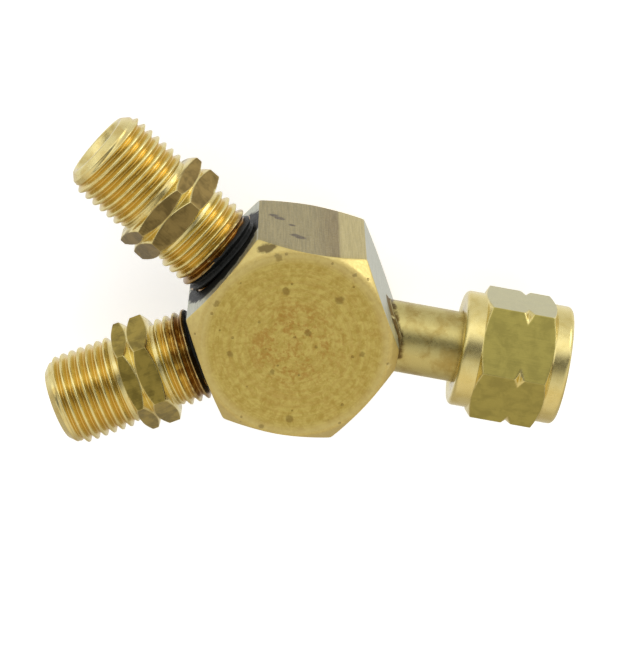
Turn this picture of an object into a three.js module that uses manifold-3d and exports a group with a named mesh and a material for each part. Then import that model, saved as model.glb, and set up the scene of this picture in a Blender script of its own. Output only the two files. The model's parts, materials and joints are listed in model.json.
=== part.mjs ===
// Brass gas Y-splitter: a hexagonal block with a swivel-nut inlet on one corner and two male outlets.
// Frame: millimetres. The origin is the centre of the block's back face. +Z is the axis of the
// hexagon, out of the front face. The three port axes meet at half the block's thickness: the inlet
// stem runs out along +X, and the outlets leave on either side of -X. All hose threads are 9/16"-18
// left-hand, drawn as rings at their true pitch.
import * as THREE from "three";
import { mergeVertices } from "three/addons/utils/BufferGeometryUtils.js";
import Module from "manifold-3d";

const wasm = await Module();
wasm.setup();

// ---- Driving dimensions -------------------------------------------------------------------------
const INCH = 25.4;
const THREAD = { major: (9 / 16) * INCH, pitch: INCH / 18, depth: 0.75 };

const BLOCK = {
  acrossFlats: 1.125 * INCH, // hexagonal bar stock
  thickness: 27.0,
  chamferHeight: 2.6, // how far the turned chamfers run down the corners
  cornerFlat: 15.6, // distance from the centre of the flat milled on the inlet corner
  passageRadius: 3.25, // drilled gas passages
};

const OUTLET = {
  spread: 63.5, // degrees between the two outlets
  screwedOut: { upper: 0.6, lower: -0.6 }, // where each was tightened, against the mean depth below
  innerEnd: 11.3, // the two inner ends would meet if they went much deeper
  innerChamfer: 1.2,
  sealantEnd: { upper: 16.9, lower: 16.0 }, // how far the sealant reaches out from the port axes
  innerThreadEnd: 21.2,
  hexStart: 22.0,
  hexEnd: 27.8,
  hexNotch: 25.3, // middle of the V-groove, nearer the outer end
  threadStart: 28.3,
  threadEnd: 38.3,
  tip: 39.5,
  hexAcrossFlats: 15.0,
  hexChamfer: 0.7,
  grooveRadius: 7.4, // bottom of the V-groove
  grooveHalfWidth: 0.95,
  hexTurn: { upper: -28.3, lower: -19.5 }, // how far each was tightened, degrees about its axis
  engagedRadius: 6.6, // plain radius under the sealant and inside the block
  boreRadius: 3.25,
  tipRadius: 5.5,
  tipChamfer: 1.0,
  seatMouthRadius: 4.7, // conical seat for the hose nipple
  seatDepth: 3.0,
};

const STEM = {
  radius: 5.4,
  boreRadius: 3.2,
  innerEnd: 8.5,
  shoulderStart: 28.1,
  shoulderEnd: 30.1,
  shoulderRadius: 6.2,
  noseTip: 35.1,
  noseRadius: 5.3,
  noseRounding: 2.4,
};

const NUT = {
  back: 25.2,
  hexStart: 28.1,
  hexEnd: 39.0,
  hexNotch: 34.4, // middle of the V-groove
  front: 41.7,
  acrossFlats: 18.0,
  hexChamfer: 0.8,
  grooveRadius: 9.6,
  grooveHalfWidth: 0.75,
  backCollarRadius: 8.85,
  backRounding: 0.5,
  frontCollarRadius: 9.1,
  frontRounding: 0.6,
  shoulderSeat: 27.8,
  backHoleRadius: 5.6,
  turn: 1.5, // degrees about X at rest
};

const BRAZE = { onStem: 0.75, onBlock: 0.8, gap: 0.1 }; // legs of the bead, and its gap to both

const FIT_GAP = 0.15; // room for sealant and braze between fixed pieces
const SEGMENTS = 36; // round a port, connector or nut
const BLOCK_SEGMENTS = 72; // round the block's chamfers

// ---- Solid helpers ------------------------------------------------------------------------------
// The closed solid of a three.js geometry: only positions are kept and shared corners are merged.
function solidOf(geometry) {
  const bare = geometry.clone();
  bare.deleteAttribute("normal");
  bare.deleteAttribute("uv");
  const merged = mergeVertices(bare, 1e-4);
  return new wasm.Manifold(
    new wasm.Mesh({
      numProp: 3,
      vertProperties: new Float32Array(merged.attributes.position.array),
      triVerts: new Uint32Array(merged.index.array),
    }),
  );
}

function geometryOf(solid) {
  const mesh = solid.getMesh();
  const geometry = new THREE.BufferGeometry();
  geometry.setAttribute("position", new THREE.BufferAttribute(mesh.vertProperties, 3));
  geometry.setIndex(new THREE.BufferAttribute(mesh.triVerts, 1));
  return geometry;
}

// A turned solid about +X. The profile lists [distance along X, radius] round a closed loop,
// outside surface first towards +X and then the bore back.
function turned(profile) {
  const points = [...profile, profile[0]].map(([along, radius]) => new THREE.Vector2(radius, along));
  return solidOf(new THREE.LatheGeometry(points, SEGMENTS).rotateZ(-Math.PI / 2));
}

// A straight bar about +X from one distance to another. Six segments make a hexagon with a corner
// on +Z, whose radius is measured to the corners.
function bar(start, end, radius, segments = SEGMENTS) {
  const geometry = new THREE.CylinderGeometry(radius, radius, end - start, segments);
  geometry.rotateZ(-Math.PI / 2);
  geometry.translate((start + end) / 2, 0, 0);
  return solidOf(geometry);
}

function turnedAboutZ(solid, degrees) {
  return solid.rotate([0, 0, degrees]);
}

const cornerRadius = (acrossFlats) => acrossFlats / Math.sqrt(3);

const outletAngle = { upper: 180 - OUTLET.spread / 2, lower: 180 + OUTLET.spread / 2 };

// Zigzag points of ring threads from start to end, between a root and a crest radius.
function threadRings(start, end, rootRadius, crestRadius) {
  const turns = Math.floor((end - start) / THREAD.pitch);
  const points = [[start, rootRadius]];
  for (let turn = 0; turn < turns; turn++) {
    const from = start + turn * THREAD.pitch;
    points.push([from + THREAD.pitch / 2, crestRadius], [from + THREAD.pitch, rootRadius]);
  }
  return points;
}

// A hexagon with chamfered ends and the V-groove round its corners that marks a left-hand thread.
function notchedHexagon({ start, end, notch, acrossFlats, chamfer, grooveRadius, grooveHalfWidth }) {
  const corner = cornerRadius(acrossFlats);
  const core = acrossFlats / 4;
  const envelope = turned([
    [start, core],
    [start, acrossFlats / 2],
    [start + chamfer, corner + 0.05],
    [notch - grooveHalfWidth, corner + 0.05],
    [notch, grooveRadius],
    [notch + grooveHalfWidth, corner + 0.05],
    [end - chamfer, corner + 0.05],
    [end, acrossFlats / 2],
    [end, core],
  ]);
  return bar(start - 1, end + 1, corner, 6).intersect(envelope);
}

// ---- Block --------------------------------------------------------------------------------------
const blockCorner = cornerRadius(BLOCK.acrossFlats);

// The bare hexagonal block, larger by a margin on every side, with its inlet corner milled flat.
function plainBlock(margin = 0) {
  const apothem = BLOCK.acrossFlats / 2 + margin;
  const radius = cornerRadius(2 * apothem);
  const height = BLOCK.thickness + 2 * margin;
  const hexagon = new THREE.CylinderGeometry(radius, radius, height, 6);
  hexagon.rotateX(Math.PI / 2); // the prism now stands along Z
  hexagon.rotateZ(Math.PI / 6); // and has a corner on +X
  const milledAway = new THREE.BoxGeometry(blockCorner, 2 * blockCorner, 2 * height);
  milledAway.translate(BLOCK.cornerFlat + margin + blockCorner / 2, 0, 0);
  return solidOf(hexagon).subtract(solidOf(milledAway));
}

function blockSolid() {
  const half = BLOCK.thickness / 2;
  const apothem = BLOCK.acrossFlats / 2;
  const shoulder = half - BLOCK.chamferHeight;
  const outline = [
    [-half, 0],
    [-half, apothem],
    [-shoulder, blockCorner + 0.01],
    [shoulder, blockCorner + 0.01],
    [half, apothem],
    [half, 0],
  ];
  const points = outline.map(([height, radius]) => new THREE.Vector2(radius, height));
  const turnedEnds = solidOf(new THREE.LatheGeometry(points, BLOCK_SEGMENTS).rotateX(Math.PI / 2));

  const floor = OUTLET.innerEnd + OUTLET.screwedOut.lower - 2 * FIT_GAP;
  const portRadius = OUTLET.engagedRadius + FIT_GAP;
  const port = turned([
    [floor, BLOCK.passageRadius / 2],
    [floor, portRadius - OUTLET.innerChamfer],
    [floor + OUTLET.innerChamfer, portRadius],
    [BLOCK.acrossFlats, portRadius],
    [BLOCK.acrossFlats, BLOCK.passageRadius / 2],
  ]).add(bar(0, BLOCK.acrossFlats, BLOCK.passageRadius));
  const stemSocket = bar(STEM.innerEnd - FIT_GAP, BLOCK.acrossFlats, STEM.radius + FIT_GAP);

  return plainBlock()
    .intersect(turnedEnds)
    .subtract(turnedAboutZ(port, outletAngle.upper))
    .subtract(turnedAboutZ(port, outletAngle.lower))
    .subtract(bar(-1, BLOCK.acrossFlats, BLOCK.passageRadius))
    .subtract(stemSocket);
}

// ---- Outlet connectors, in their own frame with +X outwards -------------------------------------
const crestRadius = THREAD.major / 2 - 0.05;
const rootRadius = crestRadius - THREAD.depth;

// A connector at its mean depth. The thread is drawn from where the sealant stops.
function connectorSolid(sealantEnd) {
  const bodyOfRevolution = turned([
    [OUTLET.innerEnd, OUTLET.engagedRadius - OUTLET.innerChamfer],
    [OUTLET.innerEnd + OUTLET.innerChamfer, OUTLET.engagedRadius],
    [sealantEnd + 0.1, OUTLET.engagedRadius],
    ...threadRings(sealantEnd + 0.2, OUTLET.innerThreadEnd, rootRadius, crestRadius),
    [OUTLET.hexStart + 0.2, rootRadius + 0.1],
    [OUTLET.threadStart - 0.2, rootRadius + 0.1],
    ...threadRings(OUTLET.threadStart, OUTLET.threadEnd, rootRadius, crestRadius),
    [OUTLET.tip - OUTLET.tipChamfer, rootRadius + 0.15],
    [OUTLET.tip, OUTLET.tipRadius],
    [OUTLET.tip, OUTLET.seatMouthRadius],
    [OUTLET.tip - OUTLET.seatDepth, OUTLET.boreRadius],
    [OUTLET.innerEnd, OUTLET.boreRadius],
  ]);
  const hexagon = notchedHexagon({
    start: OUTLET.hexStart,
    end: OUTLET.hexEnd,
    notch: OUTLET.hexNotch,
    acrossFlats: OUTLET.hexAcrossFlats,
    chamfer: OUTLET.hexChamfer,
    grooveRadius: OUTLET.grooveRadius,
    grooveHalfWidth: OUTLET.grooveHalfWidth,
  });
  return bodyOfRevolution.add(hexagon);
}

// Cured sealant squeezed out of the port: a black band that follows the thread it covers and ends
// against the block's flat. It is built in the arm's frame and trimmed by the block.
function sealantSolid(sealantEnd, angle) {
  const start = BLOCK.acrossFlats / 2 - 2 * FIT_GAP;
  const inside = OUTLET.engagedRadius + FIT_GAP;
  const turns = Math.max(1, Math.round((sealantEnd - start) / THREAD.pitch));
  const step = (sealantEnd - start) / turns;
  const ridges = [];
  for (let turn = 0; turn < turns; turn++) {
    const from = start + turn * step;
    ridges.push([from, crestRadius - 0.15], [from + step / 2, crestRadius + 0.1]);
  }
  const band = turned([...ridges, [sealantEnd, crestRadius - 0.25], [sealantEnd, inside], [start, inside]]);
  return band.subtract(turnedAboutZ(plainBlock(FIT_GAP), -angle));
}

// ---- Inlet stem, its braze and the swivel nut ---------------------------------------------------
function stemSolid() {
  const noseArc = [];
  const noseStraight = STEM.noseTip - STEM.noseRounding;
  for (let step = 0; step <= 5; step++) {
    const angle = (step / 5) * (Math.PI / 2) * 0.85;
    const along = noseStraight + STEM.noseRounding * Math.sin(angle);
    noseArc.push([along, STEM.noseRadius - STEM.noseRounding * (1 - Math.cos(angle))]);
  }
  return turned([
    [STEM.innerEnd, STEM.radius],
    [STEM.shoulderStart - 0.3, STEM.radius],
    [STEM.shoulderStart, STEM.shoulderRadius],
    [STEM.shoulderEnd, STEM.shoulderRadius],
    [STEM.shoulderEnd + 0.4, STEM.noseRadius],
    ...noseArc,
    [STEM.noseTip, STEM.boreRadius],
    [STEM.innerEnd, STEM.boreRadius],
  ]);
}

// A narrow bead that follows the line where the round stem meets the block's corner.
function brazeSolid() {
  const bead = plainBlock(BRAZE.onStem).subtract(plainBlock(BRAZE.gap));
  const sleeve = bar(BLOCK.acrossFlats / 3, BLOCK.acrossFlats, STEM.radius + BRAZE.onBlock).subtract(
    bar(0, 2 * BLOCK.acrossFlats, STEM.radius + BRAZE.gap),
  );
  return bead.intersect(sleeve);
}

function nutSolid() {
  const mouth = NUT.front - 0.7;
  const threadRoot = THREAD.major / 2;
  const threadCrest = threadRoot - THREAD.depth;
  const inside = threadRings(NUT.shoulderSeat + 2.2, mouth, threadRoot, threadCrest).reverse();
  const shell = turned([
    [NUT.back, NUT.backCollarRadius - NUT.backRounding],
    [NUT.back + NUT.backRounding, NUT.backCollarRadius],
    [NUT.hexStart + 0.5, NUT.backCollarRadius],
    [NUT.hexEnd - 0.5, NUT.backCollarRadius],
    [NUT.hexEnd - 0.2, NUT.frontCollarRadius],
    [NUT.front - NUT.frontRounding, NUT.frontCollarRadius],
    [NUT.front, NUT.frontCollarRadius - NUT.frontRounding],
    [NUT.front, threadRoot + 0.3],
    ...inside,
    [NUT.shoulderSeat, threadRoot],
    [NUT.shoulderSeat, NUT.backHoleRadius],
    [NUT.back, NUT.backHoleRadius],
  ]);
  const hexagon = notchedHexagon({
    start: NUT.hexStart,
    end: NUT.hexEnd,
    notch: NUT.hexNotch,
    acrossFlats: NUT.acrossFlats,
    chamfer: NUT.hexChamfer,
    grooveRadius: NUT.grooveRadius,
    grooveHalfWidth: NUT.grooveHalfWidth,
  });
  const hollow = bar(NUT.back - 1, NUT.front + 1, threadRoot + 0.5);
  return shell.add(hexagon.subtract(hollow));
}

// ---- Assembly -----------------------------------------------------------------------------------
const METAL = {
  block: { color: 0xb4a25c, roughness: 0.45, metalness: 1 },
  connector: { color: 0xc8a03c, roughness: 0.35, metalness: 1 },
  stem: { color: 0xbeaa64, roughness: 0.4, metalness: 1 },
  nut: { color: 0xb0a05a, roughness: 0.35, metalness: 1 },
  braze: { color: 0x8c7846, roughness: 0.6, metalness: 1 },
};
const SEALANT = { color: 0x26282a, roughness: 0.55, metalness: 0 };

function piece(name, solid, finish) {
  const mesh = new THREE.Mesh(geometryOf(solid), new THREE.MeshStandardMaterial(finish));
  mesh.name = name;
  return mesh;
}

const splitter = new THREE.Group();
splitter.position.z = BLOCK.thickness / 2; // the port axes stand this far above the back face
splitter.add(piece("manifold_body", blockSolid(), METAL.block));

for (const side of ["upper", "lower"]) {
  const arm = new THREE.Group();
  arm.rotation.z = THREE.MathUtils.degToRad(outletAngle[side]);
  const sealantEnd = OUTLET.sealantEnd[side];
  const screwedOut = OUTLET.screwedOut[side];
  const connector = piece(
    side + "_outlet_connector",
    connectorSolid(sealantEnd - screwedOut),
    METAL.connector,
  );
  connector.position.x = screwedOut;
  connector.rotation.x = THREE.MathUtils.degToRad(OUTLET.hexTurn[side]);
  const sealant = piece(side + "_thread_sealant", sealantSolid(sealantEnd, outletAngle[side]), SEALANT);
  arm.add(connector, sealant);
  splitter.add(arm);
}

const nut = piece("swivel_nut", nutSolid(), METAL.nut);
nut.rotation.x = THREE.MathUtils.degToRad(NUT.turn);
splitter.add(
  piece("inlet_stem", stemSolid(), METAL.stem),
  piece("stem_braze_ring", brazeSolid(), METAL.braze),
  nut,
);

export default splitter;
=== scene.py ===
import json
import math

import bmesh
import bpy
import numpy as np
from mathutils import Matrix, Vector


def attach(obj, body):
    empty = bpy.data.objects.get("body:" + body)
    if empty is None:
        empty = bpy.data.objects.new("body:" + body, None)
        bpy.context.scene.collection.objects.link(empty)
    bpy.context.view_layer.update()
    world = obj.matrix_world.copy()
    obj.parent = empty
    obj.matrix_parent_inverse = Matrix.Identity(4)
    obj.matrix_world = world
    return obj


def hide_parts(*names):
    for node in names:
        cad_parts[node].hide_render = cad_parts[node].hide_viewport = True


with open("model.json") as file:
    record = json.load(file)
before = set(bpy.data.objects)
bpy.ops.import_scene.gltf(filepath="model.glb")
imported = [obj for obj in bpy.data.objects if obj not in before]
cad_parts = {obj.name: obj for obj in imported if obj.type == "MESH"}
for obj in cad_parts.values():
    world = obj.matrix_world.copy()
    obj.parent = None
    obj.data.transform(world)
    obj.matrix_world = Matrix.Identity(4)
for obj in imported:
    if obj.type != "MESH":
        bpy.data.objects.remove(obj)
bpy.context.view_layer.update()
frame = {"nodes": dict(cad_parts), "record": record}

MM = 0.001
TAU = 2 * math.pi
X_AXIS, Y_AXIS, Z_AXIS = Vector((1, 0, 0)), Vector((0, 1, 0)), Vector((0, 0, 1))


# ---- Sizes, read from the frame where it has them -------------------------------------------------
def span_along(node, direction):
    """Nearest and farthest reach of a CAD node along a direction from the origin, in millimetres."""
    reach = [v.co.dot(direction) / MM for v in frame["nodes"][node].data.vertices]
    return min(reach), max(reach)


HALF_THICKNESS = span_along("manifold_body", Z_AXIS)[1] / 2
APOTHEM = span_along("manifold_body", Y_AXIS)[1]
INLET_CORNER = span_along("manifold_body", X_AXIS)[1]
BLOCK_CORNER = 2 * APOTHEM / math.sqrt(3)
CHAMFER_HEIGHT = 2.6  # how far the turned chamfers run down the block's corners
CHAMFER_SLOPE = CHAMFER_HEIGHT / (BLOCK_CORNER - APOTHEM)
PORTS = Matrix.Translation((0, 0, HALF_THICKNESS * MM))

PITCH = 25.4 / 18
THREAD_RADIUS = 7.09  # over the crests
THREAD_DEPTH = 0.80
THREAD_HAND = -1  # left-hand, as the notched hexagons say
NECK_RADIUS = THREAD_RADIUS - THREAD_DEPTH + 0.15  # beside the hexagons
BORE = 3.25  # radius of the gas passages

STEM_RADIUS = 5.4
STEM_START, NOSE_TIP = span_along("inlet_stem", X_AXIS)
NUT_BACK, NUT_FRONT = span_along("swivel_nut", X_AXIS)
NUT_TURN = math.radians(1.5)


def outlet(side, turn, shrunk, stained):
    """One outlet arm: its direction and reach from the record's mount, how far it is screwed round in
    degrees, how far its sealant stops short of the CAD band, and how far the brown stain runs on."""
    mount = next(m for m in frame["record"]["mounts"] if m["name"] == "outlet_%s_end" % side)
    axis = Vector(mount["axis"])
    angle = math.atan2(axis.y, axis.x) % TAU
    # The block's flats face 30, 90, 150 ... degrees, and the arm leans a little off its flat's normal.
    flat = math.radians(30 + 60 * round((math.degrees(angle) - 30) / 60))
    return {
        "axis": axis,
        "angle": angle,
        "lean": flat - angle,
        "tip": Vector(mount["pos_m"]).dot(axis) / MM,
        "turn": math.radians(turn),
        "sealant_end": span_along(side + "_thread_sealant", axis)[1] - shrunk,
        "stained": stained,
    }


ARMS = {
    "upper": outlet("upper", turn=-28.3, shrunk=0.6, stained=2.4),
    "lower": outlet("lower", turn=-19.5, shrunk=0.3, stained=5.0),
}


# ---- Profiles -------------------------------------------------------------------------------------
def smooth_min(a, b, blend):
    """The smaller of two lengths, rounded over where they cross."""
    h = np.clip(0.5 + 0.5 * (b - a) / blend, 0, 1)
    return b * (1 - h) + a * h - blend * h * (1 - h)


def smooth_step(low, high, value):
    """Eases from 0 to 1 as the value goes from low to high."""
    t = np.clip((value - low) / (high - low), 0, 1)
    return t * t * (3 - 2 * t)


def rounded_edge(distance, radius):
    """How far a rounded end edge pulls in at a distance from the end."""
    d = min(max(distance, 0), radius)
    return radius - math.sqrt(radius**2 - (radius - d) ** 2)


def wavy(theta, seed, harmonics=(2, 3, 5, 7, 11, 13)):
    """A smooth closed random wave round a circle, about -1 to 1."""
    rng = np.random.default_rng(seed)
    total = 0
    for k in harmonics:
        total = total + np.sin(k * theta + rng.uniform(0, TAU)) * rng.uniform(0.4, 1) / math.sqrt(k)
    return total / 1.6


def bezier(a, b, c, count=5):
    """A curve from a to c that leaves towards b."""
    return [(1 - t) ** 2 * a + 2 * t * (1 - t) * b + t * t * c for t in np.linspace(0, 1, count)]


def sector_angles(per_sector, edge_degrees=(0.35, 0.9, 1.8)):
    """Angles round a circle with extra samples close to the six corners of a hexagon."""
    even = np.linspace(0, 60, per_sector, endpoint=False)
    close = [e for d in edge_degrees for e in (d, 60 - d)]
    sector = np.unique(np.round(np.concatenate([even, close]), 4))
    return np.radians(np.concatenate([sector + 60 * k for k in range(6)]))


def stations(*stretches):
    """Sample positions from (start, end, step) stretches, sorted and without doubles."""
    runs = [np.linspace(a, b, max(2, round(abs(b - a) / step) + 1)) for a, b, step in stretches]
    return np.unique(np.round(np.concatenate(runs), 4))


def hexagon(theta, apothem):
    """Distance from the centre to a hexagon whose corners are at 0, 60, 120 ... degrees."""
    return apothem / np.cos((theta % (math.pi / 3)) - math.pi / 6)


def notched_hexagon(x, theta, bar):
    """Radius at each angle of a hexagon with turned ends and a V-groove round its corners, and 1 where its
    flats show, 0 on the turned surfaces."""
    softness = 0.12  # how wide the edges between the flats and the turned surfaces are rounded
    flats = hexagon(theta, bar["apothem"])
    corner = bar["apothem"] * 2 / math.sqrt(3) + 0.1
    shoulder = bar["apothem"] - 0.05
    from_end = min(x - bar["start"], bar["end"] - x)
    ends = shoulder + (corner - shoulder) * min(max(from_end / bar["chamfer"], 0), 1)
    from_notch = abs(x - bar["notch"]) / bar["notch_half_width"]
    groove = bar["notch_radius"] + (corner - bar["notch_radius"]) * min(from_notch, 1)
    envelope = smooth_min(np.full_like(theta, ends), groove, softness)
    return smooth_min(flats, envelope, softness), smooth_step(-0.02, 0.12, envelope - flats)


def thread_groove(x, theta):
    """0 on the crest and 1 at the root of the thread: a straight-sided V with its edges eased."""
    turn = (x / PITCH + THREAD_HAND * theta / TAU) % 1.0
    from_crest = 1 - np.abs(2 * turn - 1)
    eased = smooth_step(0.10, 0.90, from_crest)
    straight = np.clip((from_crest - 0.14) / 0.76, 0, 1)
    return 0.4 * eased + 0.6 * straight


# ---- Meshes ---------------------------------------------------------------------------------------
def grid_mesh(name, points, placing, marks=None, poles=False):
    """A closed mesh from a rows x columns grid of points. It closes along its columns, and along its
    rows too unless poles are added. marks holds named values per row (or per point) for the material."""
    rows, columns = points.shape[:2]
    index = np.arange(rows * columns).reshape(rows, columns)
    right = np.roll(index, -1, axis=1)
    quads = np.stack([index, right, np.roll(right, -1, axis=0), np.roll(index, -1, axis=0)], axis=2)
    faces = quads[: rows - 1 if poles else rows].reshape(-1, 4).tolist()
    vertices = points.reshape(-1, 3)
    if poles:
        first, last = rows * columns, rows * columns + 1
        vertices = np.vstack([vertices, points[0].mean(0), points[-1].mean(0)])
        faces += [[first, right[0, j], index[0, j]] for j in range(columns)]
        faces += [[last, index[-1, j], right[-1, j]] for j in range(columns)]
    mesh = bpy.data.meshes.new(name)
    mesh.from_pydata((vertices * MM).tolist(), [], faces)
    store(mesh, "local", vertices)
    for mark, values in (marks or {}).items():
        store(mesh, mark, np.array([np.broadcast_to(v, (columns,)) for v in values]))
    mesh.transform(placing)
    bm = bmesh.new()
    bm.from_mesh(mesh)
    bmesh.ops.recalc_face_normals(bm, faces=bm.faces)
    if bm.calc_volume(signed=True) < 0:
        bmesh.ops.reverse_faces(bm, faces=bm.faces)
    bm.to_mesh(mesh)
    bm.free()
    return link(name, mesh)


def ring_mesh(name, rings, theta, placing, marks=None):
    """A tube-like piece along X. rings lists (distance along X, radius) in order round the section, each
    a number or one value per angle."""
    along = np.array([np.broadcast_to(r[0], theta.shape) for r in rings], float)
    radius = np.array([np.broadcast_to(r[1], theta.shape) for r in rings], float)
    points = np.stack([along, radius * np.sin(theta), radius * np.cos(theta)], axis=2)
    return grid_mesh(name, points, placing, marks)


def store(mesh, name, values):
    """Keeps one number or one vector per vertex for the materials."""
    flat = np.asarray(values, np.float32)
    is_vector = flat.shape[-1] == 3 and flat.ndim == 2
    kind, field = ("FLOAT_VECTOR", "vector") if is_vector else ("FLOAT", "value")
    mesh.attributes.new(name, kind, "POINT").data.foreach_set(field, flat.reshape(-1))


def link(name, mesh):
    mesh.polygons.foreach_set("use_smooth", [True] * len(mesh.polygons))
    piece = bpy.data.objects.new(name, mesh)
    bpy.context.scene.collection.objects.link(piece)
    return piece


def dress(piece, node, body, material):
    """Puts a finished piece in a CAD node's place."""
    piece.data.materials.clear()
    piece.data.materials.append(material)
    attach(piece, body)
    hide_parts(node)


# ---- Outlets --------------------------------------------------------------------------------------
def threaded_outside(x, theta, tip, inner_end, threads):
    """Radius of a connector's turned outside at one station, and how fully the thread is formed there."""
    run_in, run_out = 0.7, 0.8
    inner_end_radius, tip_radius, engaged_radius = 5.35, 5.45, THREAD_RADIUS - 0.45
    formed = 0.0
    for start, end in threads:
        formed += smooth_step(start, start + run_in, x) * (1 - smooth_step(end - run_out, end, x))
    threaded = THREAD_RADIUS - THREAD_DEPTH * thread_groove(x - tip, theta)
    radius = NECK_RADIUS + formed * (threaded - NECK_RADIUS)
    largest = THREAD_RADIUS if x > APOTHEM + 0.4 else engaged_radius
    at_inner_end = inner_end_radius + x - inner_end
    at_tip = tip_radius + tip - x - rounded_edge(tip - x, 0.12)
    return np.minimum(radius, min(at_inner_end, at_tip, largest)), formed


def seat_and_bore(tip, inner_end):
    """Rings of the conical seat in a connector's mouth and of the bore behind it."""
    mouth, seat_depth = 4.7, 3.0
    rings = [(tip - 0.02, mouth + 0.1), (tip - 0.12, mouth - 0.02), (tip - seat_depth, BORE + 0.05)]
    rings += [(x, BORE) for x in np.linspace(tip - seat_depth - 0.2, inner_end + 0.3, 14)]
    return rings + [(inner_end, BORE + 0.2)]


def outlet_connector(side):
    """Male-male nipple: thread, notched hexagon and thread, with a conical seat in its mouth."""
    arm = ARMS[side]
    tip, length = arm["tip"], 28.2
    inner_end = tip - length
    bar = {"start": tip - 17.5, "end": tip - 11.7, "notch": tip - 14.2, "apothem": 7.5}
    bar |= {"chamfer": 0.7, "notch_half_width": 0.95, "notch_radius": 7.4}
    threads = ((inner_end - 1, bar["start"] - 0.5), (bar["end"] + 0.5, tip - 1.3))
    fine = PITCH / 14
    theta = sector_angles(24)
    along = stations(
        (inner_end, bar["start"] - 0.02, fine),
        (bar["start"], bar["end"], 0.1),
        (bar["end"] + 0.02, tip, fine),
        (tip - 0.3, tip, 0.05),
    )
    rings, groove_marks, flat_marks, stain_marks = [], [], [], []
    for x in along:
        radius, formed = threaded_outside(x, theta, tip, inner_end, threads)
        flat = np.zeros_like(theta)
        if bar["start"] <= x <= bar["end"]:
            radius, flat = notched_hexagon(x, theta, bar)
        rings.append((x, radius))
        groove_marks.append(np.clip((THREAD_RADIUS - radius) / THREAD_DEPTH, 0, 1) * formed)
        flat_marks.append(flat)
        stain_marks.append(1 - smooth_step(0.2, arm["stained"], x - arm["sealant_end"]))
    inside = seat_and_bore(tip, inner_end)
    padding = [0.0] * len(inside)
    marks = {"groove": groove_marks + padding, "flat": flat_marks + padding, "stain": stain_marks + padding}
    placing = PORTS @ Matrix.Rotation(arm["angle"], 4, "Z") @ Matrix.Rotation(arm["turn"], 4, "X")
    return ring_mesh(side + "_outlet_connector_v", rings + inside, theta, placing, marks)


def sealant_band(side, seed):
    """Cured sealant that fills and follows the thread beside the block, with a ragged outer edge."""
    arm = ARMS[side]
    theta = np.linspace(0, TAU, 180, endpoint=False)
    lateral = THREAD_RADIUS * np.sin(theta)
    start = (APOTHEM + 0.04 - lateral * math.sin(arm["lean"])) / math.cos(arm["lean"])
    end = arm["sealant_end"] + 0.25 * wavy(theta, seed) + 0.10 * wavy(theta, seed + 1, (17, 23, 31))
    rings = []
    for t in np.linspace(0, 1, 37):
        x = start + (end - start) * t
        groove = thread_groove(x - arm["tip"], theta + arm["turn"])
        film = 0.07 + 0.05 * wavy(theta + 0.9 * x, seed + 2) + 0.03 * wavy(theta, seed + 3, (19, 29, 37))
        thickness = np.clip(film, 0.02, 0.15) * smooth_step(0, 0.15, t) * smooth_step(0, 0.12, 1 - t)
        rings.append((x, THREAD_RADIUS - 0.06 - 0.85 * THREAD_DEPTH * groove + thickness))
    inside = THREAD_RADIUS - THREAD_DEPTH - 0.05
    rings += [(start + (end - start) * t, inside) for t in np.linspace(1, 0, 9)]
    placing = PORTS @ Matrix.Rotation(arm["angle"], 4, "Z")
    return ring_mesh(side + "_thread_sealant_v", rings, theta, placing)


# ---- Inlet: stem, braze and nut -------------------------------------------------------------------
def inlet_stem():
    """Tailpiece: a plain tube with the shoulder that the nut draws on, and a rounded nose."""
    theta = np.linspace(0, TAU, 128, endpoint=False)
    shoulder_start, shoulder_end, shoulder_radius = NOSE_TIP - 7.0, NOSE_TIP - 5.0, 6.2
    nose_radius, nose_round, nose_sweep = 5.3, 2.4, math.radians(76)
    bore = 3.2
    outside = [(STEM_START, STEM_RADIUS - 0.3)]
    outside += [(x, STEM_RADIUS) for x in np.linspace(STEM_START + 0.3, shoulder_start - 0.3, 90)]
    outside += [(shoulder_start - 0.05, shoulder_radius - 0.15), (shoulder_start + 0.15, shoulder_radius)]
    outside += [(shoulder_end - 0.15, shoulder_radius), (shoulder_end + 0.05, shoulder_radius - 0.15)]
    outside += [(shoulder_end + 0.4, nose_radius)]
    for angle in np.linspace(0, nose_sweep, 12):
        x = NOSE_TIP - nose_round * (1 - math.sin(angle))
        outside.append((x, nose_radius - nose_round * (1 - math.cos(angle))))
    inside = [(NOSE_TIP, bore + 0.3), (NOSE_TIP - 0.1, bore + 0.1), (NOSE_TIP - 0.4, bore)]
    inside += [(x, bore) for x in np.linspace(NOSE_TIP - 1.5, STEM_START + 0.3, 16)]
    inside += [(STEM_START, bore + 0.2)]
    joint = block_side(STEM_RADIUS * np.sin(theta))
    stain = [1 - smooth_step(0.2, 1.9, x - joint) for x, _ in outside] + [0.0] * len(inside)
    return ring_mesh("inlet_stem_v", outside + inside, theta, PORTS, {"stain": stain})


def block_side(y):
    """Reach along X of the block's outside near its inlet corner, at a distance off the X axis."""
    return np.minimum(INLET_CORNER, BLOCK_CORNER - np.abs(y) / math.sqrt(3))


def braze_bead():
    """Concave bead of braze along the line where the round stem meets the block's corner."""
    theta = np.linspace(0, TAU, 180, endpoint=False)
    leg = 0.55 + 0.14 * wavy(theta, 41) + 0.05 * wavy(theta, 42, (13, 19, 27))
    contact = STEM_RADIUS + 0.02
    root = block_side(contact * np.sin(theta)) + 0.02
    foot = contact + leg
    on_block = block_side(foot * np.sin(theta)) + 0.02
    rings = [(root, contact), (root + leg, contact)]
    for t in (0.2, 0.4, 0.6, 0.8):
        sag = 0.25 * leg * math.sin(math.pi * t)
        rings.append((root + leg + (on_block - root - leg) * t - sag, contact + leg * t - 0.6 * sag))
    rings.append((on_block, foot))
    return ring_mesh("stem_braze_ring_v", rings, theta, PORTS)


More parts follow.
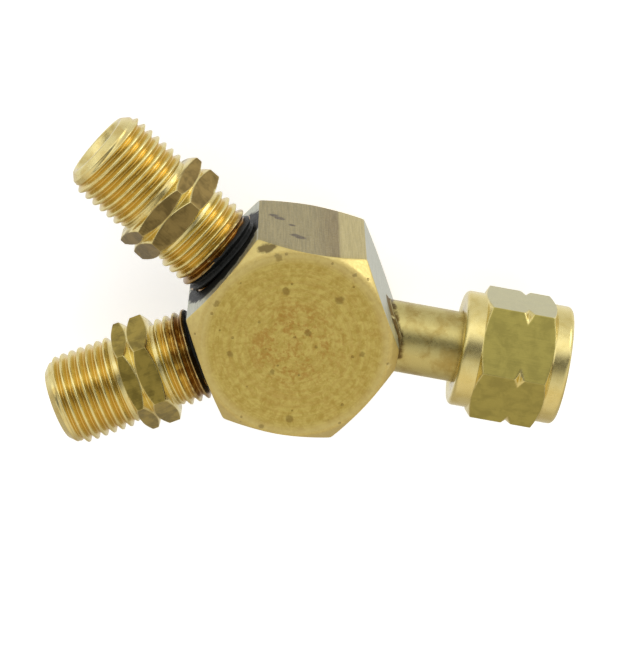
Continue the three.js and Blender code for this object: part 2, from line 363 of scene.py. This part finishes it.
def swivel_nut():
    """Notched hexagon between two turned collars, with its thread and the seat for the stem's shoulder."""
    bar = {"start": NUT_BACK + 2.9, "end": NUT_FRONT - 2.7, "notch": NUT_BACK + 9.2, "apothem": 9.0}
    bar |= {"chamfer": 0.8, "notch_half_width": 0.85, "notch_radius": 9.7}
    back_collar, front_collar, collar_round, back_hole = 8.85, 9.1, 0.8, 5.6
    theta = sector_angles(26)
    along = stations(
        (NUT_BACK, NUT_BACK + 0.9, 0.06),
        (NUT_BACK + 0.9, bar["start"] - 0.02, 0.2),
        (bar["start"], bar["end"], 0.11),
        (bar["end"] + 0.02, NUT_FRONT - 0.9, 0.2),
        (NUT_FRONT - 0.9, NUT_FRONT, 0.06),
    )
    rings, flat_marks = [], []
    for x in along:
        flat = np.zeros_like(theta)
        if x < bar["start"]:
            radius = np.full_like(theta, back_collar - rounded_edge(x - NUT_BACK, collar_round))
        elif x <= bar["end"]:
            radius, flat = notched_hexagon(x, theta, bar)
        else:
            radius = np.full_like(theta, front_collar - rounded_edge(NUT_FRONT - x, collar_round))
        rings.append((x, radius))
        flat_marks.append(flat)
    seat, mouth = NUT_BACK + 2.6, NUT_FRONT - 0.6
    thread_start = seat + 2.2
    bore = THREAD_RADIUS + 0.05
    inside = [(NUT_FRONT, bore + 0.40), (NUT_FRONT - 0.15, bore + 0.25)]
    for x in np.arange(mouth, thread_start, -PITCH / 10):
        fade = smooth_step(0, 0.5, x - thread_start) * smooth_step(0, 0.6, mouth - x)
        inside.append((x, bore - (THREAD_DEPTH - 0.08) * thread_groove(x, theta) * fade))
    inside += [(thread_start, bore), (seat + 0.02, bore), (seat, back_hole + 0.05)]
    inside += [(NUT_BACK + 0.15, back_hole), (NUT_BACK, back_hole + 0.15)]
    # Every inside ring takes the groove mark, so the nut's whole bore is painted darker: painted shade.
    marks = {"flat": flat_marks + [0.0] * len(inside), "groove": [0.0] * len(rings) + [0.7] * len(inside)}
    placing = PORTS @ Matrix.Rotation(NUT_TURN, 4, "X")
    return ring_mesh("swivel_nut_v", rings + inside, theta, placing, marks)


# ---- Block ----------------------------------------------------------------------------------------
def block_outline(theta):
    """The hexagon seen from the front, with softened corners and the inlet corner milled flat."""
    outline = smooth_min(hexagon(theta, APOTHEM), np.full_like(theta, BLOCK_CORNER - 0.06), 0.2)
    facing_inlet = np.cos(theta)
    milled = np.where(facing_inlet > 0.8, INLET_CORNER / np.maximum(facing_inlet, 0.5), 2 * BLOCK_CORNER)
    return smooth_min(outline, milled, 0.05)


def block_end(theta, outline, side):
    """Rows of (radius, height) from the middle of one end, over its turned chamfer, to the flats."""
    edge = 0.3  # how far the rounding reaches from the edge of the turned face
    top = side * HALF_THICKNESS
    circle = np.minimum(APOTHEM - 0.03, outline - 0.02)
    face_edge = np.stack([circle, np.full_like(circle, top)], 1)
    chamfer_end = np.stack([outline, top - side * (outline - circle) * CHAMFER_SLOPE], 1)
    length = np.linalg.norm(chamfer_end - face_edge, axis=1)[:, None]
    slope = (chamfer_end - face_edge) / length
    reach = np.minimum(edge, 0.45 * length)
    rows = [face_edge * [t, 1] for t in np.linspace(0.01, 1 - 1.5 * edge / APOTHEM, 34)]
    rows += bezier(face_edge - [edge, 0], face_edge, face_edge + slope * reach)
    rows += [face_edge + slope * (reach + (length - 2 * reach) * t) for t in (0.33, 0.67)]
    rows += bezier(chamfer_end - slope * reach, chamfer_end, chamfer_end - [0, side * 0.16])
    return rows


def block():
    """Hexagonal block with turned ends, bored for its three ports."""
    theta = sector_angles(30, (0.25, 0.6, 1.2))
    outline = block_outline(theta)
    front, back = block_end(theta, outline, 1), block_end(theta, outline, -1)
    flats = [front[-1] * (1 - t) + back[-1] * t for t in np.linspace(0, 1, 14)[1:-1]]
    profile = front + flats + back[::-1]
    rows = [np.stack([p[:, 0] * np.cos(theta), p[:, 0] * np.sin(theta), p[:, 1]], 1) for p in profile]
    body = grid_mesh("manifold_body_v", np.array(rows), PORTS, poles=True)
    cut_ports(body)
    return body


def boring_tool(profile, angle):
    """A turned cutting tool along a port axis. The profile lists its (distance, radius) steps."""
    theta = np.linspace(0, TAU, 96, endpoint=False)
    rows = [np.stack([np.full_like(theta, x), r * np.sin(theta), r * np.cos(theta)], 1) for x, r in profile]
    return grid_mesh("boring_tool", np.array(rows), PORTS @ Matrix.Rotation(angle, 4, "Z"), poles=True)


def cut_ports(body):
    """Bores the two outlet ports, the inlet socket and the passages that join them. The three passages
    differ slightly in radius, because cutters of one size would touch along their crossings."""
    port_radius, port_floor, relief = 6.75, 10.4, 1.2
    socket_radius, socket_floor = STEM_RADIUS + 0.04, STEM_START - 0.15
    port_end, socket_end = 20, 25  # both outside the block
    tools = []
    for side, passage in (("upper", BORE), ("lower", BORE - 0.06)):
        bore = [(-0.5, passage), (port_floor, passage)]
        port = [(port_floor, port_radius - relief), (port_floor + relief, port_radius)]
        tools.append(boring_tool(bore + port + [(port_end, port_radius)], ARMS[side]["angle"]))
    passage = BORE - 0.12
    bore = [(-0.8, passage), (socket_floor, passage)]
    socket = [(socket_floor, socket_radius), (socket_end, socket_radius)]
    tools.append(boring_tool(bore + socket, angle=0))
    for tool in tools:
        modifier = body.modifiers.new("port", "BOOLEAN")
        modifier.solver = "EXACT"
        modifier.object = tool
    bpy.context.view_layer.update()
    evaluated = body.evaluated_get(bpy.context.evaluated_depsgraph_get())
    body.data = bpy.data.meshes.new_from_object(evaluated)
    body.modifiers.clear()
    for tool in tools:
        bpy.data.objects.remove(tool)
    weld(body.data)
    keep_bore_edges_crisp(body.data)


def weld(mesh, apart=0.002 * MM):
    """Joins points less than this far apart, which cutting leaves in slivers, and splits the faces of many
    corners round each cut into triangles."""
    bm = bmesh.new()
    bm.from_mesh(mesh)
    bmesh.ops.remove_doubles(bm, verts=bm.verts, dist=apart)
    bmesh.ops.dissolve_degenerate(bm, edges=bm.edges, dist=apart)
    bmesh.ops.triangulate(bm, faces=[f for f in bm.faces if len(f.verts) > 4])
    bm.to_mesh(mesh)
    bm.free()


def keep_bore_edges_crisp(mesh, crisp=math.radians(38)):
    """Shades each edge that turns by more than the given angle as a sharp one."""
    bm = bmesh.new()
    bm.from_mesh(mesh)
    for edge in bm.edges:
        edge.smooth = edge.calc_face_angle(0) < crisp
    bm.to_mesh(mesh)
    bm.free()


# ---- Materials ------------------------------------------------------------------------------------
def srgb(red, green, blue):
    """Linear colour with alpha from 0-255 display values."""
    values = [c / 255 for c in (red, green, blue)]
    return (*[c / 12.92 if c <= 0.04045 else ((c + 0.055) / 1.055) ** 2.4 for c in values], 1.0)


MIX_A, MIX_B, MIX_RESULT = 6, 7, 2  # the colour sockets of a Mix node


class Shader:
    """Adds and joins the nodes of one material."""

    def __init__(self, name, metallic=1.0):
        self.material = bpy.data.materials.new(name)
        self.material.use_nodes = True
        self.tree = self.material.node_tree
        self.surface = self.tree.nodes["Principled BSDF"]
        self.surface.inputs["Metallic"].default_value = metallic
        self.local = self.attribute("local", "Vector")

    def add(self, kind, **settings):
        node = self.tree.nodes.new(kind)
        for key, value in settings.items():
            setattr(node, key, value)
        return node

    def feed(self, target, value):
        if isinstance(value, bpy.types.NodeSocket):
            self.tree.links.new(value, target)
        else:
            target.default_value = value

    def set(self, name, value):
        self.feed(self.surface.inputs[name], value)

    def attribute(self, name, output="Fac"):
        return self.add("ShaderNodeAttribute", attribute_name=name).outputs[output]

    def math(self, operation, *values):
        node = self.add("ShaderNodeMath", operation=operation)
        for socket, value in zip(node.inputs, values):
            self.feed(socket, value)
        return node.outputs[0]

    def split(self, vector):
        """The X, Y and Z outputs of a vector."""
        node = self.add("ShaderNodeSeparateXYZ")
        self.feed(node.inputs[0], vector)
        return node.outputs

    def stretched(self, scale):
        """The piece's own coordinates, each multiplied by its scale."""
        node = self.add("ShaderNodeVectorMath", operation="MULTIPLY")
        self.feed(node.inputs[0], self.local)
        node.inputs[1].default_value = scale
        return node.outputs[0]

    def ramp(self, value, low, high, out_low=0.0, out_high=1.0):
        """A smooth change from one output to the other as the value goes from low to high."""
        node = self.add("ShaderNodeMapRange", interpolation_type="SMOOTHSTEP")
        for name, setting in zip(("Value", "From Min", "From Max", "To Min", "To Max"),
                                 (value, low, high, out_low, out_high)):
            self.feed(node.inputs[name], setting)
        return node.outputs["Result"]

    def noise(self, scale, detail=4.0, roughness=0.55, distortion=0.0, vector=None):
        node = self.add("ShaderNodeTexNoise")
        self.feed(node.inputs["Vector"], self.local if vector is None else vector)
        for name, setting in zip(("Scale", "Detail", "Roughness", "Distortion"),
                                 (scale, detail, roughness, distortion)):
            node.inputs[name].default_value = setting
        return node.outputs["Fac"]

    def lines(self, value, scale, detail=4.0):
        """Random fine lines across one coordinate, as a tool leaves them."""
        node = self.add("ShaderNodeTexNoise", noise_dimensions="1D")
        self.feed(node.inputs["W"], value)
        node.inputs["Scale"].default_value = scale
        node.inputs["Detail"].default_value = detail
        return node.outputs["Fac"]

    def pits(self, scale, share, size):
        """Scattered round specks: 1 inside a speck, in only a share of the texture's cells."""
        node = self.add("ShaderNodeTexVoronoi")
        self.feed(node.inputs["Vector"], self.local)
        node.inputs["Scale"].default_value = scale
        chosen = self.ramp(self.split(node.outputs["Color"])[0], 1 - share, 1 - share + 0.02)
        inside = self.ramp(node.outputs["Distance"], 0.6 * size * scale, size * scale, 1.0, 0.0)
        return self.math("MULTIPLY", chosen, inside)

    def marked(self, marks):
        """1 inside any of a list of ragged blots given as (x, y, z, radius)."""
        wander = 0.9  # the blots' outlines stray over this width
        jitter = self.add("ShaderNodeTexNoise")
        jitter.inputs["Scale"].default_value = 1.3
        self.feed(jitter.inputs["Vector"], self.local)
        strayed = self.add("ShaderNodeVectorMath", operation="MULTIPLY_ADD")
        self.feed(strayed.inputs[0], jitter.outputs["Color"])
        strayed.inputs[1].default_value = (wander, wander, wander)
        self.feed(strayed.inputs[2], self.local)
        found = 0.0
        for *place, size in marks:
            gap = self.add("ShaderNodeVectorMath", operation="DISTANCE")
            self.feed(gap.inputs[0], strayed.outputs[0])
            gap.inputs[1].default_value = [c + wander / 2 for c in place]
            found = self.math("MAXIMUM", found, self.ramp(gap.outputs["Value"], 0.5 * size, size, 1.0, 0.0))
        return found

    def smear_round_ports(self):
        """1 on the flats beside the outlet ports, with a ragged edge."""
        found = 0.0
        ragged = self.math("MULTIPLY", self.noise(0.8, 5, 0.65), 2.4)
        for arm in ARMS.values():
            across = self.add("ShaderNodeVectorMath", operation="CROSS_PRODUCT")
            self.feed(across.inputs[0], self.stretched((1, 1, 0.75)))
            across.inputs[1].default_value = arm["axis"]
            length = self.add("ShaderNodeVectorMath", operation="LENGTH")
            self.feed(length.inputs[0], across.outputs[0])
            away = self.math("ADD", length.outputs["Value"], ragged)
            near = self.ramp(away, THREAD_RADIUS + 2.3, THREAD_RADIUS + 3.0, 1.0, 0.0)
            facing = self.add("ShaderNodeVectorMath", operation="DOT_PRODUCT")
            self.feed(facing.inputs[0], self.add("ShaderNodeNewGeometry").outputs["True Normal"])
            facing.inputs[1].default_value = arm["axis"]
            on_flat = self.ramp(facing.outputs["Value"], 0.90, 0.95)
            found = self.math("MAXIMUM", found, self.math("MULTIPLY", near, on_flat))
        return found

    def glancing(self):
        """Grows from 0 where the surface faces the viewer to 1 where it is seen edge on."""
        return self.add("ShaderNodeLayerWeight").outputs["Facing"]

    def worn_and_highlit_edges(self, low=0.52, high=0.60):
        """1 on outward edges: partly rubbed bright by handling, partly a painted highlight along crests and
        corners.
        """
        node = self.add("ShaderNodeNewGeometry")
        return self.ramp(node.outputs["Pointiness"], low, high)

    def mix(self, factor, a, b):
        node = self.add("ShaderNodeMix", data_type="RGBA")
        self.feed(node.inputs["Factor"], factor)
        self.feed(node.inputs[MIX_A], a)
        self.feed(node.inputs[MIX_B], b)
        return node.outputs[MIX_RESULT]

    def tinted(self, colour, tint, mask, strength):
        """A colour drawn towards a tint where the mask is 1, by the given strength."""
        return self.mix(self.math("MULTIPLY", mask, strength), colour, tint)

    def bump(self, height, depth_mm, normal=None):
        node = self.add("ShaderNodeBump")
        node.inputs["Distance"].default_value = depth_mm * MM
        self.feed(node.inputs["Height"], height)
        if normal is not None:
            self.feed(node.inputs["Normal"], normal)
        return node.outputs["Normal"]


DARK_STAIN = srgb(84, 62, 30)
# Pale grey painted on drawn flats where they are seen edge on: a painted reflection of the pale
# surroundings.
GLANCE_REFLECTION_GREY = srgb(214, 210, 176)
PALE_EDGE = srgb(244, 232, 170)


def turned_brass(name, metal, tarnish, flats, root_shade, stained, rough, patches=0.42, grain=0.008, glance_reflection=0.1):
    """Brass for turned pieces: rings left by the tool, tarnish in patches, threads painted darker and warmer
    towards the bottom of their grooves as painted shade, matte drawn flats with lines along the bar, stains,
    and pale edges that are partly rubbed wear and partly painted highlight. patches is how much darker the
    flats' patches are, the glancing setting how far the flats are painted pale grey where they are seen edge
    on, a painted reflection, and grain a bump in millimetres."""
    s = Shader(name)
    along = s.split(s.local)["X"]
    flat, groove, stain = s.attribute("flat"), s.attribute("groove"), s.attribute("stain")
    fine = s.noise(3.0, 6, 0.65)
    drawn = s.noise(1.6, 5, 0.7, vector=s.stretched((0.15, 5.0, 5.0)))

    colour = s.mix(s.ramp(s.noise(0.35, 5, 0.6, 0.4), 0.42, 0.68), metal, tarnish)
    colour = s.mix(s.ramp(groove, 0.10, 0.40), colour, s.mix(fine, tarnish, metal))
    # Painted shade: colour darker and warmer towards the bottom of the thread grooves.
    colour = s.mix(s.ramp(groove, 0.45, 1.0, 0.0, 0.85), colour, root_shade)
    dull = tuple(c * (1 - patches) for c in flats[:3]) + (1.0,)
    patchy = s.math("MULTIPLY_ADD", s.noise(0.45, 4, 0.6, 0.5), 0.75, s.math("MULTIPLY", drawn, 0.25))
    drawn_flats = s.mix(s.ramp(patchy, 0.40, 0.62), flats, dull)
    # Painted reflection: the flats turn pale grey where they are seen edge on.
    drawn_flats = s.mix(s.ramp(s.glancing(), 0.42, 0.75, 0.0, glance_reflection), drawn_flats, GLANCE_REFLECTION_GREY)
    colour = s.mix(flat, colour, drawn_flats)
    blotchy = s.math("MULTIPLY_ADD", s.noise(0.7, 6, 0.7), 1.5, s.math("MULTIPLY", stain, 0.6))
    blotches = s.math("MULTIPLY", s.ramp(blotchy, 0.90, 1.35), s.ramp(stain, 0.0, 0.35, 0.0, 0.9))
    colour = s.mix(blotches, colour, stained)
    # Outward edges and thread crests painted pale: partly rubbed wear, partly painted highlight.
    s.set("Base Color", s.tinted(colour, PALE_EDGE, s.worn_and_highlit_edges(), 0.5))

    roughness = s.ramp(fine, 0.3, 0.7, rough - 0.04, rough + 0.08)
    s.set("Roughness", s.math("MULTIPLY_ADD", flat, 0.16, roughness))
    turned = s.math("MULTIPLY", s.lines(along, 9.0), s.math("SUBTRACT", 1.0, flat))
    normal = s.bump(s.math("MULTIPLY_ADD", drawn, flat, turned), 0.012)
    s.set("Normal", s.bump(fine, grain, normal))
    return s.material


# Brown spots on the turned face as (x, y, radius), and darker smudges on the top side and the chamfer as
# (x, y, z, radius), in millimetres from the meeting point of the port axes.
FACE_SPOTS = (
    (-4.8, 12.8, 0.75), (-2.8, 7.9, 0.75), (5.3, 8.0, 0.85), (-12.5, 4.2, 0.65), (-9.1, -3.2, 0.65),
    (10.2, 0.3, 0.55), (6.8, 12.2, 0.45), (-2.4, -4.8, 0.60), (-2.5, -13.5, 0.55), (1.6, 2.1, 0.7),
    (1.4, -11.6, 0.8),
)
SMUDGES = (
    (-5.9, 14.3, -3.6, 1.0), (-5.0, 14.3, -2.6, 1.1), (-2.6, 14.3, 5.2, 1.0), (-1.8, 14.3, 5.8, 1.1),
    (-3.1, 14.3, 0.0, 0.7), (-7.3, 13.4, 12.4, 1.0), (-6.7, 13.6, 12.4, 1.1), (-6.1, 13.9, 12.4, 0.9),
)


def turned_face(s, radius, pits):
    """Colour of the block's turned ends: mottled gold with faint tool circles, rusty handling marks near the
    middle, a cleaner rim, pits and spots."""
    mottled = s.ramp(s.noise(0.9, 7, 0.7, 0.5), 0.36, 0.68)
    colour = s.mix(mottled, srgb(219, 199, 112), srgb(194, 169, 84))
    circles = s.ramp(s.lines(radius, 1.6, 4), 0.40, 0.62)
    colour = s.tinted(colour, srgb(182, 144, 74), circles, 0.22)
    patchy = s.math("MULTIPLY_ADD", s.noise(0.30, 3, 0.5), 0.5, s.noise(1.5, 6, 0.7))
    handled = s.math("MULTIPLY", s.ramp(patchy, 0.70, 0.90), s.ramp(radius, 9.5, 3.0, 0.25, 1.0))
    colour = s.tinted(colour, srgb(182, 134, 62), handled, 0.75)
    rim = s.ramp(radius, APOTHEM - 2.0, APOTHEM - 0.1)
    colour = s.tinted(colour, srgb(230, 211, 142), rim, 0.65)
    colour = s.tinted(colour, srgb(130, 102, 48), pits, 0.5)
    spots = s.marked([(x, y, HALF_THICKNESS, size) for x, y, size in FACE_SPOTS])
    return s.tinted(colour, srgb(122, 94, 44), spots, 0.5)


def drawn_sides(s, x, facing_up, lines):
    """Colour of the block's drawn flats: grey on the sides, a painted reflection of the pale floor, but on
    the top one taupe that browns towards a cleaner band near the inlet."""
    streaks = s.ramp(lines, 0.35, 0.65)
    # The side flats' grey is a painted reflection of the pale floor; the top flat keeps its own taupe and
    # browns.
    floor_reflection_grey = s.mix(streaks, srgb(206, 206, 188), srgb(186, 187, 168))
    taupe = s.mix(streaks, srgb(174, 158, 106), srgb(150, 137, 90))
    brown = s.mix(streaks, srgb(158, 138, 86), srgb(134, 116, 68))
    clean = s.mix(streaks, srgb(206, 190, 128), srgb(188, 172, 112))
    top = s.mix(s.ramp(x, 3.9, 4.5), s.mix(s.ramp(x, -1.0, 4.0), taupe, brown), clean)
    return s.mix(s.ramp(facing_up, 0.80, 0.95), floor_reflection_grey, top)


def block_brass():
    """Block: turned ends, drawn sides painted grey as a painted reflection of the pale floor, edges painted
    pale as rubbed wear and painted highlight, smudges, and sealant smeared round the outlet ports."""
    s = Shader("block_brass")
    x, y, z = s.split(s.local)
    _, facing_up, facing_front = s.split(s.add("ShaderNodeNewGeometry").outputs["True Normal"])
    radius = s.math("SQRT", s.math("ADD", s.math("MULTIPLY", x, x), s.math("MULTIPLY", y, y)))
    end = s.ramp(s.math("ABSOLUTE", z), HALF_THICKNESS - 0.10, HALF_THICKNESS - 0.02)
    side = s.ramp(s.math("ABSOLUTE", facing_front), 0.15, 0.45, 1.0, 0.0)
    fine = s.noise(2.6, 6, 0.7)
    lines = s.noise(1.5, 5, 0.7, vector=s.stretched((4.0, 4.0, 0.10)))
    pits = s.pits(0.55, 0.35, 0.30)

    colour = s.mix(side, turned_face(s, radius, pits), drawn_sides(s, x, facing_up, lines))
    colour = s.tinted(colour, srgb(74, 56, 38), s.marked(SMUDGES), 0.75)
    inside_rim = s.math("MULTIPLY", end, s.ramp(radius, APOTHEM - 1.0, APOTHEM - 0.4, 1.0, 0.0))
    # Outward edges painted pale, partly rubbed wear and partly painted highlight, but not just inside the
    # ends' rim.
    worn_and_highlit = s.math("MULTIPLY", s.worn_and_highlit_edges(0.53, 0.62), s.math("SUBTRACT", 1.0, inside_rim))
    colour = s.tinted(colour, PALE_EDGE, worn_and_highlit, 0.4)
    outside_face = s.ramp(radius, APOTHEM - 0.7, APOTHEM - 0.2)
    inside_corners = s.ramp(radius, APOTHEM + 0.1, APOTHEM + 0.5, 1.0, 0.0)
    rim = s.math("MULTIPLY", outside_face, inside_corners)
    rim = s.math("MULTIPLY", rim, s.math("SUBTRACT", 1.0, side))
    colour = s.tinted(colour, PALE_EDGE, rim, 0.15)
    smear = s.smear_round_ports()
    s.set("Base Color", s.mix(smear, colour, srgb(22, 22, 19)))
    s.set("Metallic", s.math("SUBTRACT", 1.0, smear))
    s.set("Specular IOR Level", 0.08)

    s.set("Roughness", s.math("MULTIPLY_ADD", rim, 0.3, s.ramp(fine, 0.3, 0.7, 0.36, 0.50)))
    turned = s.math("MULTIPLY", s.lines(radius, 4.5, 5), end)
    normal = s.bump(s.math("MULTIPLY_ADD", lines, side, turned), 0.018)
    normal = s.bump(s.noise(1.1, 6, 0.65), 0.03, normal)
    s.set("Normal", s.bump(pits, -0.05, normal))
    return s.material


def sealant_black():
    """Cured sealant: black with a dull sheen and a lumpy skin."""
    s = Shader("sealant", metallic=0.0)
    grain = s.noise(1.8, 5, 0.65)
    s.set("Base Color", s.mix(grain, srgb(14, 14, 13), srgb(50, 51, 48)))
    s.set("Roughness", s.ramp(grain, 0.3, 0.7, 0.34, 0.56))
    s.set("Specular IOR Level", 0.22)
    s.set("Normal", s.bump(grain, 0.10))
    return s.material


CONNECTOR = {"metal": srgb(234, 218, 152), "tarnish": srgb(216, 191, 116), "root_shade": srgb(220, 186, 98),
             "stained": srgb(136, 94, 38), "rough": 0.23}
connector_brass = {
    "upper": turned_brass("upper_connector_brass", flats=srgb(152, 129, 76), **CONNECTOR),
    "lower": turned_brass("lower_connector_brass", flats=srgb(178, 156, 76), **CONNECTOR),
}
stem_brass = turned_brass("stem_brass", metal=srgb(201, 186, 120), tarnish=srgb(176, 154, 88),
                          flats=srgb(150, 140, 90), root_shade=srgb(150, 120, 60), stained=DARK_STAIN, rough=0.30)
nut_brass = turned_brass("nut_brass", metal=srgb(231, 214, 145), tarnish=srgb(222, 202, 128),
                         flats=srgb(178, 165, 88), root_shade=srgb(150, 120, 60), stained=DARK_STAIN, rough=0.21,
                         patches=0.2, grain=0.003, glance_reflection=0.75)
braze_metal = turned_brass("braze", metal=srgb(128, 106, 60), tarnish=srgb(78, 62, 34),
                           flats=srgb(120, 100, 60), root_shade=srgb(90, 70, 40), stained=DARK_STAIN, rough=0.5)
black = sealant_black()

# ---- Pieces on their bodies -----------------------------------------------------------------------
dress(block(), "manifold_body", "splitter", block_brass())
for seed, arm_side in ((11, "upper"), (31, "lower")):
    connector, sealant = arm_side + "_outlet_connector", arm_side + "_thread_sealant"
    dress(outlet_connector(arm_side), connector, "splitter", connector_brass[arm_side])
    dress(sealant_band(arm_side, seed), sealant, "splitter", black)
dress(inlet_stem(), "inlet_stem", "splitter", stem_brass)
dress(braze_bead(), "stem_braze_ring", "splitter", braze_metal)
dress(swivel_nut(), "swivel_nut", "nut", nut_brass)

# ---- Camera, as the photograph sees the object ----------------------------------------------------
TILT = math.radians(17.5)  # between the line of sight and the block's axis
ROLL = math.radians(10.7)  # the stem points this far below the horizontal
DISTANCE = 0.482  # from the meeting point of the port axes
SENSOR_HEIGHT = 24  # millimetres, like the lens
LENS = 115.72
SHIFT = (0.02896, -0.01601)  # of the picture's height: that point lies left of and above the middle

# The camera's own axes: right, up, and back from the object towards it.
right = Vector((math.cos(ROLL), math.sin(ROLL), 0))
uphill = Vector((-math.sin(ROLL), math.cos(ROLL), 0))
back = math.cos(TILT) * Z_AXIS + math.sin(TILT) * uphill
up = math.cos(TILT) * uphill - math.sin(TILT) * Z_AXIS


def add_camera():
    """Long lens, aimed at the block's front face from a little above its axis."""
    data = bpy.data.cameras.new("camera")
    data.sensor_fit = "VERTICAL"
    data.sensor_height = SENSOR_HEIGHT
    data.lens = LENS
    data.clip_start, data.clip_end = 0.01, 10
    data.shift_x, data.shift_y = SHIFT
    camera = bpy.data.objects.new("camera", data)
    bpy.context.scene.collection.objects.link(camera)
    turn = Matrix((right, up, back)).transposed().to_4x4()
    camera.matrix_world = PORTS @ Matrix.Translation(back * DISTANCE) @ turn
    bpy.context.scene.camera = camera


# ---- Studio ---------------------------------------------------------------------------------------
# Brightness of the tent round the object, by degrees above the line of sight: a dim stretch where the
# camera stands, a bright strip of light over it, pale walls above and a duller table below.
TENT = (
    (-180, 0.85), (-150, 0.52), (-115, 0.52), (-90, 0.74), (-60, 0.84), (-34, 0.77),
    (-22, 0.62), (-12, 0.28), (2, 0.17), (11, 0.30), (19, 0.80), (30, 1.25),
    (44, 1.35), (60, 0.95), (85, 0.80), (110, 0.76), (145, 0.98), (180, 0.85),
)
BRIGHTEST = max(level for _, level in TENT)
WARM, WARM_FROM, WARM_TO = (1.08, 1.0, 0.88), -160, -40  # the table throws back warmer light


def tent_colour(tree):
    """The tent's colour in each direction, by the angle above the line of sight."""
    direction = tree.nodes.new("ShaderNodeTexCoord").outputs["Generated"]
    parts = []
    for axis in (up, back):
        dot = tree.nodes.new("ShaderNodeVectorMath")
        dot.operation = "DOT_PRODUCT"
        dot.inputs[1].default_value = axis
        tree.links.new(direction, dot.inputs[0])
        parts.append(dot.outputs["Value"])
    angle = tree.nodes.new("ShaderNodeMath")
    angle.operation = "ARCTAN2"
    tree.links.new(parts[0], angle.inputs[0])
    tree.links.new(parts[1], angle.inputs[1])
    place = tree.nodes.new("ShaderNodeMapRange")
    place.inputs["From Min"].default_value = -math.pi
    place.inputs["From Max"].default_value = math.pi
    tree.links.new(angle.outputs[0], place.inputs["Value"])
    ramp = tree.nodes.new("ShaderNodeValToRGB")
    tree.links.new(place.outputs["Result"], ramp.inputs[0])
    stops = ramp.color_ramp.elements
    for number, (degrees, level) in enumerate(TENT):
        position = (degrees + 180) / 360
        stop = stops[number] if number < 2 else stops.new(position)
        stop.position = position
        tint = WARM if WARM_FROM < degrees < WARM_TO else (1, 1, 1)
        stop.color = [level * c / BRIGHTEST for c in tint] + [1]
    return ramp.outputs[0]


def add_tent():
    """Light from all round, which the brass mirrors. The camera itself sees plain white there."""
    world = bpy.data.worlds.new("tent")
    bpy.context.scene.world = world
    world.use_nodes = True
    tree = world.node_tree
    rays = tree.nodes.new("ShaderNodeLightPath")
    seen = tree.nodes.new("ShaderNodeMix")
    seen.data_type = "RGBA"
    tree.links.new(rays.outputs["Is Camera Ray"], seen.inputs["Factor"])
    tree.links.new(tent_colour(tree), seen.inputs[MIX_A])
    seen.inputs[MIX_B].default_value = (1, 1, 1, 1)
    background = tree.nodes["Background"]
    tree.links.new(seen.outputs[MIX_RESULT], background.inputs["Color"])
    background.inputs["Strength"].default_value = BRIGHTEST


def add_softbox(name, direction, distance, size, power):
    """A round lamp that faces the origin from one direction."""
    data = bpy.data.lights.new(name, "AREA")
    data.shape = "DISK"
    data.size = size
    data.energy = power
    light = bpy.data.objects.new(name, data)
    bpy.context.scene.collection.objects.link(light)
    aim = direction.to_track_quat("Z", "Y").to_matrix().to_4x4()
    light.matrix_world = Matrix.Translation(direction.normalized() * distance) @ aim


def add_floor():
    """Plain pale floor, just under the block."""
    bpy.ops.mesh.primitive_plane_add(size=6, location=(0, 0, -0.1 * MM))
    floor = bpy.context.object
    floor.name = "floor"
    s = Shader("floor", metallic=0.0)
    s.set("Base Color", (0.9, 0.9, 0.9, 1))
    s.set("Roughness", 0.9)
    s.set("Specular IOR Level", 0.0)
    s.set("Emission Color", (1, 1, 1, 1))
    s.set("Emission Strength", 0.6)
    floor.data.materials.append(s.material)
    floor.visible_glossy = False


add_camera()
add_tent()
add_floor()
towards_lamp = 0.77 * right + 0.58 * up + 0.30 * back
add_softbox("side_softbox", towards_lamp, distance=0.5, size=0.25, power=0.3)
bpy.context.scene.view_settings.view_transform = "Standard"
